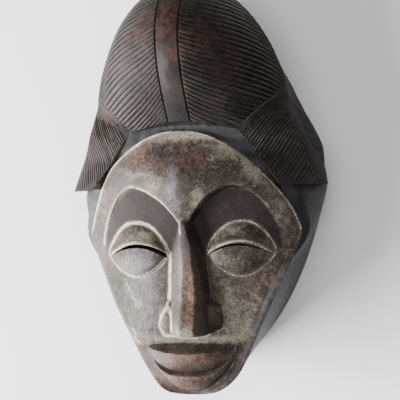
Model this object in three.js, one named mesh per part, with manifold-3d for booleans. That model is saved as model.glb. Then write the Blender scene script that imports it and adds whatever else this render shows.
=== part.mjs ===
// A carved wooden face mask with a crested coiffure, lying on its back rim with its face up.
// Millimetres. +Z points out of the face, +Y to the top of the head, +X to the viewer's right.
// The origin is on the surface that the rim rests on, under the middle of the mask.
import * as THREE from "three";
import { mergeVertices } from "three/addons/utils/BufferGeometryUtils.js";
import Module from "manifold-3d";

// Driving dimensions. Heights on the face are measured from a level a little below the hairline.
const CHIN_Y = -143;
const TEMPLE_Y = -32; // the face is widest here
const FACE_TOP_Y = 41;
const HAIRLINE_Y = 44;
const LOBE_FOOT_Y = 60;
const CREST_Y = 98; // the coiffure stands furthest forward here
const TOP_Y = 146;
const FACE_HALF_WIDTH = 77.5;
const LOBE_HALF_WIDTH = 70;
const TRESS_HALF_WIDTH = 94; // tips of the two side tresses
const FACE_Z = 83; // plain face surface on the middle line, above the rim
const TEMPLE_Z = 62;
const JAW_Z = 76.5;
const HAIRLINE_Z = 90;
const CREST_Z = 117;
const PLATE_STEP = 3.5; // the face plate stands proud of the skull round it
const WALL = 10; // shell thickness at the rim
const CAVITY_DEPTH = 74;
const CAVITY_TOP_Y = 96;
const LOCKS = 17; // carved locks on each side of the lobe
const LOCK_DEPTH = 1.8;

const quarterTurn = Math.PI / 2;
const clamp = (v, lo = 0, hi = 1) => Math.min(hi, Math.max(lo, v));
const mix = (a, b, t) => a + (b - a) * t;
const smooth = (lo, hi, v) => {
  const t = clamp((v - lo) / (hi - lo));
  return t * t * (3 - 2 * t);
};
// The level of a profile at v, with a smooth step from each of its points to the next
function profile(points, v) {
  const i = points.findIndex(([at]) => v < at);
  if (i === 0) return points[0][1];
  if (i < 0) return points.at(-1)[1];
  const [[lo, a], [hi, b]] = points.slice(i - 1, i + 1);
  return mix(a, b, smooth(lo, hi, v));
}
// The half width of a superellipse of exponents p and q, at a share t of its height
const halfWidth = (t, width, p, q) => width * Math.max(0, 1 - Math.abs(t) ** q) ** (1 / p);
// Numbers from a to b, evenly spread, or closer together near both ends
const spread = (a, b, count, ends = 0) =>
  Array.from({ length: count + 1 }, (_, i) => {
    const t = i / count;
    return mix(a, b, mix(t, (1 - Math.cos(Math.PI * t)) / 2, ends));
  });

// Outline of the face plate, seen from the front
const JAW = { taper: 0.655, temple: 0.03, round: 18, roundness: 0.42 }; // temple rounds its upper corner
const TEMPLE_CURVE = [2, 1.36];
// How far the plate leans to the left, as it was cut by eye
const PLATE_LEAN = [
  [-15, 0],
  [28, -3.5],
];
// 0 at the temples, 1 at the chin or at the top of the face
function faceHeightShare(y) {
  return y < TEMPLE_Y ? (TEMPLE_Y - y) / (TEMPLE_Y - CHIN_Y) : (y - TEMPLE_Y) / (FACE_TOP_Y - TEMPLE_Y);
}
function jawHalfWidth(t, width) {
  const down = (Math.hypot(t, JAW.temple) - JAW.temple) / (Math.hypot(1, JAW.temple) - JAW.temple);
  return width * (1 - JAW.taper * down) * Math.max(0, 1 - t ** JAW.round) ** JAW.roundness;
}
function faceHalfWidth(y) {
  const t = faceHeightShare(y);
  return y < TEMPLE_Y ? jawHalfWidth(t, FACE_HALF_WIDTH) : halfWidth(t, FACE_HALF_WIDTH, ...TEMPLE_CURVE);
}
// 0 in the middle of the face, 1 on its outline
function faceShare(ax, y) {
  const across = Math.min(1, ax / Math.max(1, faceHalfWidth(y)));
  return 1 - (1 - across) * (1 - faceHeightShare(y) ** 14);
}

// Plain face surface, which falls from the middle line to the edge of the plate
const PLATE_EDGE = [
  [CHIN_Y, JAW_Z + 8],
  [-128, JAW_Z],
  [-88, JAW_Z],
  [TEMPLE_Y, TEMPLE_Z],
  [21, JAW_Z + 3.5],
  [FACE_TOP_Y, JAW_Z + 8],
];
const PLATE_MIDDLE = [
  [-40, FACE_Z],
  [10, FACE_Z + 3],
];
const PLATE = { bend: 2.5, edgeRound: 2, bevel: 1.5, endMargin: 2.5 };
function cheekZ(ax, y) {
  const inPlate = clamp(y, CHIN_Y + PLATE.endMargin, FACE_TOP_Y - PLATE.endMargin);
  const share = ax / Math.max(12, faceHalfWidth(inPlate));
  const middle = profile(PLATE_MIDDLE, y);
  const fall = middle - profile(PLATE_EDGE, y) - PLATE.edgeRound;
  return middle - fall * Math.min(1.15, share) ** PLATE.bend;
}
const FOREHEAD = { height: 14, y: 2, across: 38, up: 24, down: 32, topFall: 3 };
function foreheadRise(ax, y) {
  const along = (y - FOREHEAD.y) / (y > FOREHEAD.y ? FOREHEAD.up : FOREHEAD.down);
  const top = FOREHEAD.topFall * (Math.max(0, y) / FACE_TOP_Y) ** 2;
  return FOREHEAD.height * Math.exp(-((ax / FOREHEAD.across) ** 2) - along ** 2) - top;
}

// Eye socket under the arched edge of the brow
const SOCKET = { x: 36, y: -38, inner: 36, outer: 29, up: 40, power: 1.7, dip: 3 };
const BROW = { sharp: 1.5, soft: 10.5, sharpX: 48, softX: 66 }; // its edge softens outwards
function browDistance(ax, y) {
  const across = Math.abs(ax - SOCKET.x) / (ax < SOCKET.x ? SOCKET.inner : SOCKET.outer);
  const up = Math.max(0, y - SOCKET.y) / SOCKET.up;
  return ((across ** SOCKET.power + up ** SOCKET.power) ** (1 / SOCKET.power) - 1) * SOCKET.inner;
}

// Almond eye: a dome with a narrow slit and an upper lid that stands over it
const EYE = { x: 37.2, y: -44, half: 23, up: 21.5, down: 16.5, rise: 7, edge: 2 };
const SLIT = { x: 36, y: -45.5, half: 21, arch: 7, gap: 2.2, lid: 1.2, lidWidth: 5 };
const slitY = (ax) => SLIT.y + SLIT.arch * (1 - ((ax - SLIT.x) / SLIT.half) ** 2);
function eyeRise(ax, y) {
  const u = Math.abs(ax - EYE.x) / EYE.half;
  if (u >= 1) return 0;
  const reach = y > EYE.y ? EYE.up * (1 - u ** 2.2) ** 0.8 : EYE.down * (1 - u ** 2) ** 0.9;
  const q = Math.abs(y - EYE.y) / reach;
  if (q >= 1) return 0;
  const off = y - slitY(ax);
  const lid = SLIT.lid * Math.sign(off) * Math.exp(-((off / SLIT.lidWidth) ** 2)) * (1 - u);
  return EYE.edge + EYE.rise * Math.sqrt(1 - u * u) * (1 - q ** 2.4) + lid;
}

// Long nose with a narrow back, a blunt tip and two low wings
const NOSE = { top: -20, tip: -94, bottom: -101.5, bottomCurve: 0.012 };
const NOSE_RIDGE = [
  [NOSE.tip, 102],
  [-72, 94.6],
  [-52, 94],
  [NOSE.top, 95.5],
];
const NOSE_BACK_HALF = [
  [NOSE.tip, 2],
  [-73, 2.2],
  [NOSE.top, 1.5],
];
const NOSE_SIDE_CURVE = [
  [NOSE.tip, 1.8],
  [-66, 1.2],
];
const NOSE_FOOT_HALF = [
  [NOSE.tip, 16],
  [-46, 13],
  [NOSE.top, 5],
];
const WING = { x: 15, y: -89.5, across: 8, up: 13, down: 12, rise: 6 };
function noseZ(ax, y) {
  const back = profile(NOSE_BACK_HALF, y);
  const side = clamp((ax - back) / (profile(NOSE_FOOT_HALF, y) - back));
  const ground = cheekZ(ax, y);
  const wingY = (y - WING.y) / (y > WING.y ? WING.up : WING.down);
  const wing = Math.max(0, 1 - ((ax - WING.x) / WING.across) ** 2 - wingY * wingY);
  const bridge = (profile(NOSE_RIDGE, y) - ground) * (1 - side ** profile(NOSE_SIDE_CURVE, y));
  const rise = Math.max(bridge, WING.rise * wing ** 0.5);
  const bottom = NOSE.bottom + NOSE.bottomCurve * ax * ax;
  return ground + rise * smooth(bottom - 1.5, bottom + 1.5, y) * smooth(NOSE.top + 12, NOSE.top - 6, y);
}

// Full closed lips that reach almost across the chin. Each of these is the height of a line on
// the middle of the face, and how far that line has climbed at the corners of the mouth.
const MOUTH = { half: 32.4, rise: 12, band: 4 };
const LIP_TOP = { y: -106.5, climb: -2, power: 2 };
const LIP_EDGE = { y: -112.5, climb: 3, power: 2 };
const LIP_LINE = { y: -125.5, climb: 13.5, power: 2.8 };
const LIP_BOTTOM = { y: -139.5, climb: 27.5, power: 2.2 };
function lipsRise(ax, y) {
  const u = ax / MOUTH.half;
  if (u >= 1) return 0;
  const lines = [LIP_TOP, LIP_EDGE, LIP_LINE, LIP_BOTTOM];
  const [top, edge, line, bottom] = lines.map((l) => l.y + l.climb * u ** l.power);
  if (y > top || y < bottom) return 0;
  const full = MOUTH.rise * (1 - u * u) ** 0.55;
  if (y > edge) return full * ((top - y) / Math.max(0.5, top - edge));
  if (y > line) return full * mix(0.5, 1, ((y - line) / Math.max(0.5, edge - line)) ** 0.6);
  const below = (line - y) / Math.max(0.5, line - bottom);
  return full * (0.45 + 0.35 * smooth(0, MOUTH.band, line - y)) * (1 - 0.8 * below ** 3);
}

function faceZ(x, y) {
  const ax = Math.abs(x);
  const soft = mix(BROW.sharp, BROW.soft, smooth(BROW.sharpX, BROW.softX, ax));
  const outside = smooth(-soft, 0.6, browDistance(ax, y));
  const socket = SOCKET.dip * (1 - outside) * smooth(-60, -25, y);
  const ground = cheekZ(ax, y) + foreheadRise(ax, y) * outside - socket + eyeRise(ax, y) + lipsRise(ax, y);
  return Math.max(ground, noseZ(ax, y)) - PLATE.bevel * smooth(0.95, 1, faceShare(ax, y)) ** 1.5;
}

// The skull behind the face plate. Its flanks fall to the rim that the mask rests on.
const SKULL = { inset: 1.6, underPlate: 16 };
// How far its shoulder stands out beyond the plate. At the temples it is an ear-like lip.
const SKULL_MARGIN = [
  [-58, -SKULL.inset],
  [-36, 3.1],
  [-22, 6.3],
  [-16, 5.8],
  [-9, 0.6],
];
const SHOULDER_FALL = [
  [-20, 0],
  [10, 7],
];
// The flanks bulge a little, and just below the hair they run out at once from the shoulder
const FLANK_BULGE = [
  [-110, 0],
  [-70, 2],
  [-35, 2],
  [-10, 6],
];
const FLANK_CURVE = [
  [-30, 1],
  [-8, 0.2],
];
const RIM = { halfWidth: 85, y: 5, bottom: -130, middle: -18, inHair: 70, top: 120, curve: [2, 1.33] };
const rimShare = (y) => (y - RIM.y) / ((y < RIM.y ? RIM.bottom : RIM.top) - RIM.y);
// Height of the recessed border round the face plate
function borderZ(x, y) {
  const ax = Math.abs(x);
  return cheekZ(ax, y) + Math.max(0, foreheadRise(ax, y)) * smooth(-45, 5, y) - PLATE_STEP;
}
// t runs from -1 at the chin to 1 at the top, and f from 0 on the middle line to 1 on the
// outline of the front and on to 2 at the rim.
function skullPoint(t, f, side) {
  const share = Math.abs(t);
  const edgeY = mix(TEMPLE_Y, t < 0 ? CHIN_Y + SKULL.inset : FACE_TOP_Y, share);
  const margin = profile(SKULL_MARGIN, edgeY);
  const edge = t < 0 ? jawHalfWidth(share, FACE_HALF_WIDTH + margin) : faceHalfWidth(edgeY) + margin;
  const fall = profile(SHOULDER_FALL, edgeY);
  if (f <= 1) {
    const bare = borderZ(edge * f, edgeY) - fall * smooth(0.85, 1, f);
    const covered = cheekZ(edge * f, edgeY) - SKULL.underPlate;
    return [side * edge * f, edgeY, mix(covered, bare, smooth(0.8, 0.97, faceShare(edge * f, edgeY)))];
  }
  const down = f - 1;
  const rimY = mix(RIM.middle, t < 0 ? RIM.bottom : RIM.inHair, share);
  const rim = halfWidth(rimShare(rimY), RIM.halfWidth, ...RIM.curve);
  const bulge = profile(FLANK_BULGE, edgeY) * Math.sin(Math.PI * down) * Math.min(1, edge / 20);
  const x = mix(edge, rim, down ** profile(FLANK_CURVE, edgeY)) + bulge;
  return [side * x, mix(edgeY, rimY, down), (borderZ(edge, edgeY) - fall) * (1 - down)];
}

// The coiffure: a crested lobe over the forehead that runs down into a tress on each side
function hairHalfWidth(y) {
  const up = (y - LOBE_FOOT_Y) / (TOP_Y - LOBE_FOOT_Y);
  if (up > 0) return halfWidth(up, LOBE_HALF_WIDTH, 2, 1.5);
  return mix(LOBE_HALF_WIDTH, TRESS_HALF_WIDTH, 1 - y / LOBE_FOOT_Y);
}
// Height of the ridge where the front of the hair turns to its side, up the hair
const RIDGE = [
  [20, 50],
  [66, 58],
  [70, 58],
  [100, 56],
  [110, 56],
  [TOP_Y, 60],
];
// Height along the middle line. It falls to a valley at the hairline. Below that it is the line
// that the two tresses would meet in, out in front of the face.
const TRESS_FRONT = { reach: 39, curve: 1.6 };
function crestZ(y) {
  const up = (y - CREST_Y) / (TOP_Y - CREST_Y);
  if (up > 0) return mix(profile(RIDGE, TOP_Y), CREST_Z, Math.sqrt(Math.max(0, 1 - up * up)));
  const below = (HAIRLINE_Y - y) / TRESS_FRONT.reach;
  if (below > 0) return HAIRLINE_Z + TRESS_FRONT.reach * below ** TRESS_FRONT.curve;
  return mix(CREST_Z, HAIRLINE_Z, ((CREST_Y - y) / (CREST_Y - HAIRLINE_Y)) ** 1.7);
}
const VALLEY = { x: 40, climb: 0.65 }; // the valley climbs towards the sides
const CROWN_POWER = [
  [20, 1.25],
  [HAIRLINE_Y, 1.65],
  [92, 1.78],
  [130, 2],
];
function hairZ(ax, y) {
  const crest = crestZ(y - VALLEY.climb * Math.max(0, ax - VALLEY.x) * smooth(8, 45, y));
  const power = profile(CROWN_POWER, y);
  const share = Math.min(1, ax / hairHalfWidth(y)) ** power;
  return mix(profile(RIDGE, y), crest, (1 - share) ** (1 / power));
}
const BAND = { half: 8, across: 0.1 }; // smooth band along the middle of the lobe
// How far a lock droops on its way out, as a share of the half width of the hair
const NEAR_DROOP = [
  [-10, 0],
  [LOBE_FOOT_Y, 0.5],
  [130, 0.22],
];
const FAR_DROOP = [
  [5, 0.1],
  [105, 0.62],
];
// How much narrower the hair is at the rim, in millimetres and as a share
const RIM_INSET = [
  [0, 8],
  [30, 0],
];
const RIM_TAPER = [
  [30, 0],
  [110, 0.17],
];
const TOP_LEAN = [
  [95, 0],
  [TOP_Y, 8],
];
// A row follows one lock. Across runs from 0 on the middle line to 1 on the ridge and on to 2 at
// the rim, and is negative on the left.
function hairPoint(row, across) {
  const a = Math.abs(across);
  const out = clamp((a - BAND.across) / (1 - BAND.across));
  const near = profile(NEAR_DROOP, row);
  const droop = near * Math.sin(out * quarterTurn) + (profile(FAR_DROOP, row) - near) * out ** 4;
  const y = row - droop * hairHalfWidth(row);
  const width = hairHalfWidth(y);
  const band = Math.min(BAND.half, 0.3 * width);
  if (a <= 1) {
    const beyond = mix(band, width, Math.sin(out * quarterTurn) ** (2 / profile(CROWN_POWER, y)));
    const x = a < BAND.across ? (band * a) / BAND.across : beyond;
    return [Math.sign(across) * x, y, hairZ(x, y)];
  }
  const down = a - 1;
  const rim = (width - profile(RIM_INSET, y)) * (1 - profile(RIM_TAPER, y));
  const back = down * profile(TOP_LEAN, row);
  return [Math.sign(across) * mix(width, rim, down), y - back, profile(RIDGE, y) * (1 - down)];
}
const LOCK_FOOT = { y: HAIRLINE_Y - 2, climb: 0.93 };
// 1 where the lobe is carved in locks, 0 on the band and below the line that ends them
function lockShare(x, y) {
  const foot = LOCK_FOOT.y + LOCK_FOOT.climb * Math.max(0, Math.abs(x) - VALLEY.x);
  return smooth(foot, foot + 2, y) * smooth(0, 0.5, Math.abs(x) - BAND.half) * smooth(TOP_Y, TOP_Y - 8, y);
}

// Edge of the hair round the face: a low arch over the forehead and a straighter line down each side
const EDGE = { top: 44.5, cornerX: 38.5, cornerY: 40, footX: 66, footY: -2, lip: 9, bevel: 2.5 };
const sideHalfWidth = (y) =>
  mix(EDGE.cornerX, EDGE.footX, ((EDGE.cornerY - y) / (EDGE.cornerY - EDGE.footY)) ** 0.95);

const wasm = await Module();
wasm.setup();

// A closed solid through rings of points, each ring with the same number of points
function loft(rings) {
  const n = rings[0].length;
  const points = rings.flat();
  const faces = [];
  const at = (r, i) => r * n + (i % n);
  const apart = (a, b) => new THREE.Vector3(...points[a]).distanceTo(new THREE.Vector3(...points[b]));
  for (let r = 0; r + 1 < rings.length; r++) {
    for (let i = 0; i < n; i++) {
      const [a, b, c, d] = [at(r, i), at(r, i + 1), at(r + 1, i + 1), at(r + 1, i)];
      if (apart(a, c) <= apart(b, d)) faces.push([a, b, c], [a, c, d]);
      else faces.push([a, b, d], [b, c, d]);
    }
  }
  for (const r of [0, rings.length - 1]) {
    points.push([0, 1, 2].map((k) => rings[r].reduce((sum, p) => sum + p[k], 0) / n));
    for (let i = 0; i < n; i++) {
      const [a, b] = r === 0 ? [at(r, i + 1), at(r, i)] : [at(r, i), at(r, i + 1)];
      faces.push([a, b, points.length - 1]);
    }
  }
  return solid(points, faces);
}

function solid(points, faces) {
  const geometry = new THREE.BufferGeometry();
  geometry.setAttribute("position", new THREE.Float32BufferAttribute(points.flat(), 3));
  geometry.setIndex(faces.flat());
  const merged = mergeVertices(geometry, 1e-3);
  const index = merged.index.array;
  const triVerts = [];
  for (let i = 0; i < index.length; i += 3) {
    const [a, b, c] = index.slice(i, i + 3);
    if (a !== b && b !== c && c !== a) triVerts.push(a, b, c);
  }
  const vertProperties = merged.attributes.position.array;
  const mesh = new wasm.Mesh({ numProp: 3, vertProperties, triVerts: new Uint32Array(triVerts) });
  return new wasm.Manifold(mesh);
}

function facePlate() {
  const rows = spread(CHIN_Y + 0.05, FACE_TOP_Y - 0.05, 54, 0.35);
  return loft(
    rows.map((y) => {
      const half = faceHalfWidth(y);
      const lean = profile(PLATE_LEAN, y);
      const front = spread(-1, 1, 36, 0.15).map((f) => [half * f + lean, y, faceZ(half * f, y)]);
      const back = [0.9, 0, -0.9].map((f) => [half * f, mix(y, -50, 0.08), cheekZ(half, y) - 16]);
      return [...front, ...back];
    }),
  );
}

function skull() {
  const rows = [...spread(-0.9995, 0, 18, 0.5), ...spread(0, 0.98, 9).slice(1)];
  const across = [...spread(0, 1, 7, 0.8), 1.06, 1.2, 1.45, 1.7, 2];
  return loft(
    rows.map((t) => [
      ...across.map((f) => skullPoint(t, f, -1)).reverse(),
      ...across.slice(1).map((f) => skullPoint(t, f, 1)),
    ]),
  );
}

// Rows come in pairs, one in the cut between two locks and one on the lock
function coiffure() {
  const plain = [9, 15, 24, 33, 42].map((row) => [row, 0]);
  const carved = spread(50, TOP_Y - 0.05, 2 * LOCKS - 1).map((row, i) => [row, i % 2 ? 0 : LOCK_DEPTH]);
  const right = [BAND.across, ...spread(BAND.across, 1, 9).slice(1), 1.5, 2];
  const section = [...right.map((a) => -a).reverse(), 0, ...right];
  return loft(
    [...plain, ...carved].map(([row, depth]) =>
      section.map((across) => {
        const [x, y, z] = hairPoint(row, across);
        const inward = new THREE.Vector3(-x, 0, 20 - z).normalize();
        const cut = depth * lockShare(x, y) * smooth(1.1, 0.9, Math.abs(across));
        return [x + inward.x * cut, y, z + inward.z * cut];
      }),
    ),
  );
}

// The room that the face and its recessed border take out of the hair. Its floor is laid in rings
// that grow from the middle of the forehead to the edge of the hair, where a bevel rises.
function pocket() {
  const side = spread(EDGE.footY - 4, EDGE.cornerY, 8).map((y) => [sideHalfWidth(y), y]);
  const arch = spread(0.84, -0.84, 8).map((f) => [EDGE.cornerX * f, mix(EDGE.top, EDGE.cornerY, f * f)]);
  const edge = [...side, ...arch, ...side.map(([x, y]) => [-x, y]).reverse()];
  const brim = edge.map(([x, y], i) => {
    const [before, after] = [edge[Math.max(0, i - 1)], edge[Math.min(edge.length - 1, i + 1)]];
    const along = [after[0] - before[0], after[1] - before[1]];
    const out = EDGE.bevel / Math.hypot(...along);
    return [x + along[1] * out, y - along[0] * out];
  });
  const middleY = 20;
  return loft([
    ...[0.25, 0.5, 0.75, 0.9, 1].map((share) =>
      edge.map(([x, y]) => [x * share, mix(middleY, y, share), borderZ(x * share, mix(middleY, y, share))]),
    ),
    brim.map(([x, y], i) => [x, y, borderZ(...edge[i]) + EDGE.lip]),
    brim.map(([x, y]) => [x, y, 200]),
  ]);
}

// The hollow behind the face, open at the rim
function cavity() {
  const bottom = RIM.bottom + WALL + 2;
  return loft(
    spread(-1, 1, 16, 0.8).map((t) => {
      const y = mix(bottom, CAVITY_TOP_Y, (t + 1) / 2);
      const share = (y - RIM.y) / ((y < RIM.y ? bottom : CAVITY_TOP_Y) - RIM.y);
      const half = halfWidth(share, RIM.halfWidth - WALL, 2, 1.7);
      const depth = CAVITY_DEPTH * Math.sqrt(Math.max(0, 1 - Math.abs(t) ** 2.5));
      const arch = spread(0, Math.PI, 16).map((a) => [-half * Math.cos(a), y, depth * Math.sin(a) ** 0.6]);
      return [...arch, [half, y, -5], [-half, y, -5]];
    }),
  );
}

// Through cut between the lids, wider at the inner end
function eyeSlit(side) {
  const rings = spread(-1, 1, 8).map((u) => {
    const x = SLIT.x + SLIT.half * u;
    const [low, high] = [-1, 1].map((s) => slitY(x) + (s * SLIT.gap * (1 - 0.75 * Math.abs(u) ** 3)) / 2);
    const ring = [
      [side * x, low, 40],
      [side * x, high, 40],
      [side * x, high, 120],
      [side * x, low, 120],
    ];
    return side > 0 ? ring : ring.reverse();
  });
  return loft(rings);
}

// Shallow V cuts on the front of a tress, which run down and inwards towards the face
const GROOVE = { count: 5, firstX: 50, pitch: 8, y: 20, lean: 0.42, depth: 1.7, half: 1.5, margin: 3 };
const TRESS_TOP_CLIMB = 0.36;
function tressGroove(index, side) {
  const lineX = (y) => GROOVE.firstX + GROOVE.pitch * index + GROOVE.lean * (y - GROOVE.y);
  const inside = (y) => {
    const x = lineX(y);
    const top = FACE_TOP_Y + TRESS_TOP_CLIMB * (x - VALLEY.x);
    const room = Math.min(top - y, x - sideHalfWidth(y), hairHalfWidth(y) - x);
    return room > GROOVE.margin;
  };
  const reach = spread(GROOVE.margin, EDGE.cornerY, 60).filter(inside);
  const [out, up] = [0.6, 0.8]; // the way the front of the tress faces
  const rings = spread(reach[0], reach.at(-1), 2).map((y) => {
    const x = lineX(y);
    const z = hairZ(x, y);
    const point = (across, above) => [
      side * (x + across + out * above),
      y - across * GROOVE.lean,
      z - (across * out) / up + up * above,
    ];
    const mouth = [2 * GROOVE.half, -2 * GROOVE.half].map((across) => point(across, GROOVE.depth));
    const ring = [point(0, -GROOVE.depth), ...mouth];
    return side > 0 ? ring.reverse() : ring;
  });
  return loft(rings);
}

function carvedMask() {
  let wood = coiffure().subtract(pocket()).add(skull()).add(facePlate()).subtract(cavity());
  for (const side of [-1, 1]) {
    wood = wood.subtract(eyeSlit(side));
    for (let i = 0; i < GROOVE.count; i++) wood = wood.subtract(tressGroove(i, side));
  }
  return wood;
}

function meshOf(body) {
  const data = body.getMesh();
  const geometry = new THREE.BufferGeometry();
  geometry.setAttribute("position", new THREE.BufferAttribute(data.vertProperties, data.numProp));
  geometry.setIndex(new THREE.BufferAttribute(data.triVerts, 1));
  geometry.computeVertexNormals();
  return geometry;
}

const wood = new THREE.MeshStandardMaterial({ color: 0x3a2a22, roughness: 0.45, metalness: 0 });
const mask = new THREE.Mesh(meshOf(carvedMask()), wood);
mask.name = "mask";
mask.position.y = -(CHIN_Y + TOP_Y) / 2; // centred on the origin

const part = new THREE.Group();
part.add(mask);
export default part;
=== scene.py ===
# A carved wooden face mask with a crested coiffure, lying on its back rim on a pale floor.
import math
from types import SimpleNamespace as Sizes

import bpy
import numpy as np
from mathutils import Matrix, Vector
from mathutils.bvhtree import BVHTree
from mathutils.kdtree import KDTree


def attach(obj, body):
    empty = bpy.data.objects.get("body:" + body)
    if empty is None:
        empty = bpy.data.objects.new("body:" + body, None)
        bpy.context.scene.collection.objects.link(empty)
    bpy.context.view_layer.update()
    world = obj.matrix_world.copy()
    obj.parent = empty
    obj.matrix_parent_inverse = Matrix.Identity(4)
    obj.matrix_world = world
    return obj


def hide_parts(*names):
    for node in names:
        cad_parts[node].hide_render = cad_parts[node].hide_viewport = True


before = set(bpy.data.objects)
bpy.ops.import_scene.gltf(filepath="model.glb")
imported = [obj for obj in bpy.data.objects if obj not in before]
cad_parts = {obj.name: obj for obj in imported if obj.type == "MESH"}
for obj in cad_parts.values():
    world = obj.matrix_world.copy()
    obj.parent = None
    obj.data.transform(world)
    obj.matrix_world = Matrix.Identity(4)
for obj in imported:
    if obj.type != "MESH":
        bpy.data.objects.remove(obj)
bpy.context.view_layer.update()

# Sizes of the carving, in millimetres, as in the plain solid. +Z points out of the face and +Y to
# the top of the head. Heights are measured from a level close to the middle of the mask.
CHIN_Y = -143
TEMPLE_Y = -32
FACE_TOP_Y = 41
HAIRLINE_Y = 44
LOBE_FOOT_Y = 60
CREST_Y = 98
TOP_Y = 146
FACE_HALF_WIDTH = 77.5
LOBE_HALF_WIDTH = 70
TRESS_HALF_WIDTH = 94
FACE_Z = 83
TEMPLE_Z = 62
JAW_Z = 76.5
HAIRLINE_Z = 90
CREST_Z = 117
PLATE_STEP = 3.5  # how far the face plate stands out from the skull
WALL = 10
AXIS_Z = 20  # the cuts in the hair point to an axis at this height
FIRST_LOCK = 45
LOCKS = 33  # carved locks on each side of the lobe
LOCK_PITCH = (TOP_Y - 1 - FIRST_LOCK) / LOCKS
LOCK_DEPTH = 1.1
END_GAP = 0.05  # keeps the first and last row of a form from shrinking to a point
FAR = 200  # farther out than any part of the mask
MIDDLE_Y = (CHIN_Y + TOP_Y) / 2  # the frame's origin is under the middle of the mask
MM = 0.001
SIDES = (-1, 1)  # the left and the right of the picture


def mix(a, b, t):
    return a + (b - a) * t


def clamp(v):
    return np.clip(v, 0, 1)


def smooth(lo, hi, v):
    t = clamp((v - lo) / (hi - lo))
    return t * t * (3 - 2 * t)


def profile(points, v):
    """The level of a profile at v, with a smooth step from each of its points to the next"""
    level = np.full(np.shape(v), float(points[0][1]))
    for (lo, a), (hi, b) in zip(points, points[1:]):
        level = np.where(v >= lo, mix(a, b, smooth(lo, hi, v)), level)
    return level


def together(*parts):
    """Points that have the parts as their coordinates"""
    return np.stack(np.broadcast_arrays(*parts), -1)


def unit(vectors):
    return vectors / np.linalg.norm(vectors, axis=-1, keepdims=True)


def half_width(t, width, p, q):
    """The half width of a superellipse of exponents p and q, at a share t of its height"""
    return width * np.maximum(0, 1 - abs(t) ** q) ** (1 / p)


def spread(a, b, count, ends=0):
    """Numbers from a to b, evenly spread, or closer together near both ends"""
    t = np.linspace(0, 1, count + 1)
    return mix(a, b, mix(t, (1 - np.cos(np.pi * t)) / 2, ends))


# Outline of the face plate, seen from the front
JAW = Sizes(taper=0.655, temple=0.03, round=18, roundness=0.42)
END_POWER = 14  # how late the chin and the top count as an edge
TEMPLE_CURVE = (2, 1.36)
# How far the plate leans to the left, as it was cut by eye
PLATE_LEAN = ((-15, 0), (28, -3.5))


def face_height_share(y):
    below = (TEMPLE_Y - y) / (TEMPLE_Y - CHIN_Y)
    above = (y - TEMPLE_Y) / (FACE_TOP_Y - TEMPLE_Y)
    return clamp(np.where(y < TEMPLE_Y, below, above))


def jaw_half_width(t, width):
    temple = JAW.temple
    down = (np.hypot(t, temple) - temple) / (math.hypot(1, temple) - temple)
    taper = 1 - JAW.taper * down
    return width * taper * np.maximum(0, 1 - t ** JAW.round) ** JAW.roundness


def face_half_width(y):
    t = face_height_share(y)
    jaw = jaw_half_width(t, FACE_HALF_WIDTH)
    return np.where(y < TEMPLE_Y, jaw, half_width(t, FACE_HALF_WIDTH, *TEMPLE_CURVE))


def face_share(ax, y):
    across = np.minimum(1, ax / np.maximum(1, face_half_width(y)))
    return 1 - (1 - across) * (1 - face_height_share(y) ** END_POWER)


# Plain face surface, which falls from the middle line to the edge of the plate
PLATE_EDGE = (
    (CHIN_Y, JAW_Z + 8), (-128, JAW_Z), (-88, JAW_Z),
    (TEMPLE_Y, TEMPLE_Z), (21, JAW_Z + 3.5), (FACE_TOP_Y, JAW_Z + 8),
)
PLATE_MIDDLE = ((-40, FACE_Z), (10, FACE_Z + 3))
PLATE = Sizes(bend=2.5, edge_round=2, end_margin=2.5, least_half=12, most_share=1.15)
BEVEL = Sizes(depth=1.5, start=0.95, curve=1.5)
FOREHEAD = Sizes(height=14, y=2, across=38, up=24, down=32, top_fall=3, foot=(-45, 5))


def cheek_z(ax, y):
    in_plate = np.clip(y, CHIN_Y + PLATE.end_margin, FACE_TOP_Y - PLATE.end_margin)
    share = ax / np.maximum(PLATE.least_half, face_half_width(in_plate))
    middle = profile(PLATE_MIDDLE, y)
    fall = middle - profile(PLATE_EDGE, y) - PLATE.edge_round
    return middle - fall * np.minimum(PLATE.most_share, share) ** PLATE.bend


def forehead_rise(ax, y):
    along = (y - FOREHEAD.y) / np.where(y > FOREHEAD.y, FOREHEAD.up, FOREHEAD.down)
    top = FOREHEAD.top_fall * (np.maximum(0, y) / FACE_TOP_Y) ** 2
    return FOREHEAD.height * np.exp(-((ax / FOREHEAD.across) ** 2) - along**2) - top


# Eye socket under the arched edge of the brow, whose edge softens outwards
SOCKET = Sizes(x=36, y=-38, inner=36, outer=29, up=40, power=1.7, dip=3, foot=(-60, -25))
BROW = Sizes(sharp=1.5, soft=10.5, sharp_x=48, soft_x=66, top=0.6)


def brow_distance(ax, y):
    across = abs(ax - SOCKET.x) / np.where(ax < SOCKET.x, SOCKET.inner, SOCKET.outer)
    up = np.maximum(0, y - SOCKET.y) / SOCKET.up
    power = SOCKET.power
    return ((across**power + up**power) ** (1 / power) - 1) * SOCKET.inner


# Almond eye: a dome with a narrow slit and an upper lid that stands over it
EYE = Sizes(x=37.2, y=-44, half=23, up=21.5, down=16.5, rise=7, edge=2, dome=2.4)
SLIT = Sizes(x=36, y=-45.5, half=21, arch=7, lid=1.2, lid_width=5, low_z=40, high_z=120)


def slit_y(ax):
    return SLIT.y + SLIT.arch * (1 - ((ax - SLIT.x) / SLIT.half) ** 2)


def eye_reach(u, upper):
    """How far the eye reaches above or below its middle, at a share u of its half width"""
    u = np.minimum(1, abs(u))
    return np.where(upper, EYE.up * (1 - u**2.2) ** 0.8, EYE.down * (1 - u**2) ** 0.9)


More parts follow.
